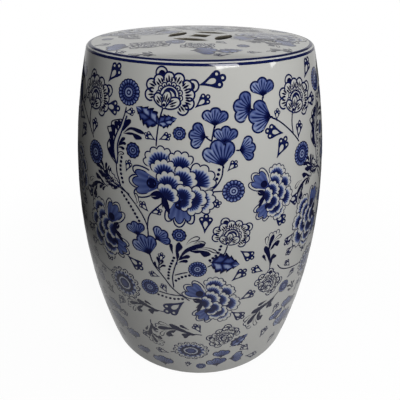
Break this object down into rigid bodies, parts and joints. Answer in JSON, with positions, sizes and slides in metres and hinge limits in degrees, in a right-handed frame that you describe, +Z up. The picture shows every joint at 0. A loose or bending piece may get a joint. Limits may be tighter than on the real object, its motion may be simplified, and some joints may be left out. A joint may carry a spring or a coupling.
{
  "type": "ceramic garden stool",
  "caption": "Barrel-shaped hollow ceramic garden stool with a domed seat pierced by a coin motif, white glaze and a blue floral print.",
  "frame": {"origin": "on the floor, under the centre of the stool", "axes": "+Z up along the barrel's axis, -Y towards the front of the stool"},
  "size_m": [0.352, 0.352, 0.457],
  "materials": {
    "glazed_stoneware": "clear glossy glaze over a white body with a cobalt blue floral print",
    "felt": "pressed wool felt"
  },
  "bodies": {
    "root": {"barrel_wall": "glazed_stoneware", "seat_plate": "glazed_stoneware", "foot_ring": "glazed_stoneware", "floor_pad_1": "felt", "floor_pad_2": "felt", "floor_pad_3": "felt", "floor_pad_4": "felt"}
  },
  "joints": []
}
